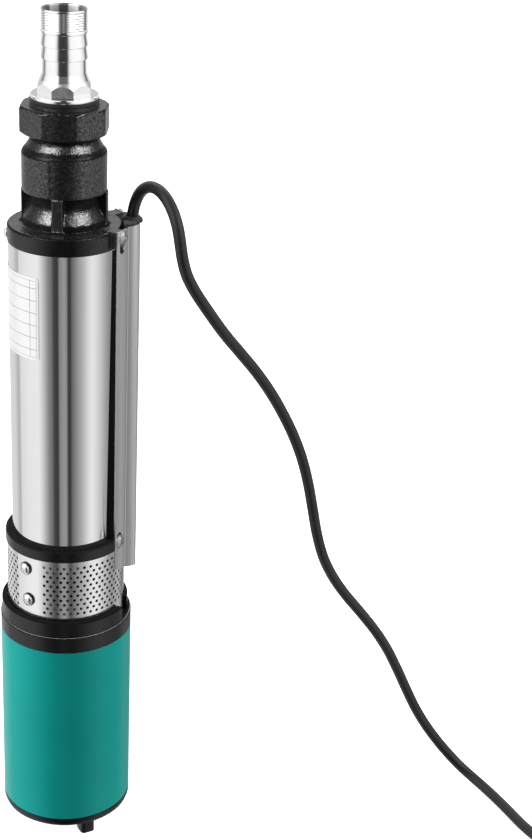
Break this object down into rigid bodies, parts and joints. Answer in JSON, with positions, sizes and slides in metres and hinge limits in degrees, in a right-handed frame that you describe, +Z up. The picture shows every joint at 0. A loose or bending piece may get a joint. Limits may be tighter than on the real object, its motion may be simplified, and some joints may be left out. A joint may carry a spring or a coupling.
{
  "type": "borehole submersible pump",
  "caption": "Slim upright borehole pump: green motor, perforated suction strainer, polished multistage casing, cast iron discharge head with hose tail, cable guard and coiled lead with plug.",
  "frame": {"origin": "on the pump's axis, on the surface that its feet stand on", "axes": "+Z up along the pump's axis towards the hose tail, -Y the front, +X towards the cable guard"},
  "size_m": [0.6052, 0.182, 0.6195],
  "materials": {
    "motor_paint": "satin green paint",
    "cast_black": "black painted casting",
    "ring_black": "satin black",
    "stainless_polished": "polished stainless steel",
    "stainless_brushed": "brushed stainless steel",
    "chromed": "plated",
    "steel": "turned",
    "lamination": "stacked sheet",
    "copper": "varnished wire",
    "aluminium": "cast",
    "brass": "turned",
    "rubber_black": "matte",
    "cable_black": "satin",
    "polymer": "moulded",
    "ceramic": "lapped ceramic",
    "plate_white": "printed film"
  },
  "bodies": {
    "pump_frame": {"motor_housing": "motor_paint", "motor_bottom_cap": "cast_black", "bottom_seal": "rubber_black", "pressure_diaphragm": "rubber_black", "diaphragm_cover": "ring_black", "cover_screws": "stainless_brushed", "stator_core": "lamination", "stator_windings": "copper", "lower_bearing_outer": "steel", "upper_bearing_outer": "steel", "motor_top_cap": "ring_black", "top_seal": "rubber_black", "seal_seat": "ceramic", "suction_bracket": "ring_black", "bracket_bolts": "stainless_brushed", "strainer_screen": "stainless_brushed", "strainer_screws": "stainless_brushed", "pump_casing": "stainless_polished", "diffuser_1": "polymer", "diffuser_2": "polymer", "diffuser_3": "polymer", "diffuser_4": "polymer", "diffuser_5": "polymer", "diffuser_6": "polymer", "bearing_bushes": "rubber_black", "discharge_head": "cast_black", "cap_screws": "stainless_brushed", "valve_guide": "polymer", "hose_barb": "chromed", "barb_gasket": "rubber_black", "cable_guard": "stainless_brushed", "guard_screws": "stainless_brushed", "cable_grommet": "rubber_black", "cable_gland": "brass", "cable_lead": "cable_black", "rating_plate": "plate_white", "mains_cable": "cable_black", "cable_coil": "cable_black", "coil_ties": "rubber_black", "cable_tail": "cable_black", "plug_relief": "rubber_black", "plug_body": "rubber_black", "plug_pins": "chromed", "valve_spring": "steel"},
    "rotor": {"motor_shaft": "steel", "rotor_core": "lamination", "rotor_end_rings": "aluminium", "lower_bearing_inner": "steel", "upper_bearing_inner": "steel", "seal_face": "ceramic", "seal_spring": "steel", "sand_slinger": "rubber_black", "shaft_coupling": "steel", "pump_shaft": "steel", "impellers": "polymer", "impeller_spacers": "steel", "impeller_nut": "steel"},
    "lower_cage": {"lower_bearing_balls": "steel"},
    "upper_cage": {"upper_bearing_balls": "steel"},
    "check_valve": {"valve_poppet": "polymer"}
  },
  "joints": [
    {"name": "rotor_spin", "type": "hinge", "parent": "pump_frame", "child": "rotor", "pos_m": [0, 0, 0.09], "axis": [0, 0, 1], "continuous": true},
    {"name": "lower_cage_spin", "type": "hinge", "parent": "pump_frame", "child": "lower_cage", "pos_m": [0, 0, 0.0325], "axis": [0, 0, 1], "continuous": true},
    {"name": "upper_cage_spin", "type": "hinge", "parent": "pump_frame", "child": "upper_cage", "pos_m": [0, 0, 0.153], "axis": [0, 0, 1], "continuous": true},
    {"name": "check_valve_lift", "type": "slide", "parent": "pump_frame", "child": "check_valve", "axis": [0, 0, 1], "range_m": [0, 0.009], "stiffness_N_per_m": 150, "springref_m": -0.01, "deforming": ["valve_spring"]}
  ],
  "couplings": [
    {"joint": "lower_cage_spin", "follows": "rotor_spin", "ratio": 0.3889},
    {"joint": "upper_cage_spin", "follows": "rotor_spin", "ratio": 0.3881}
  ]
}
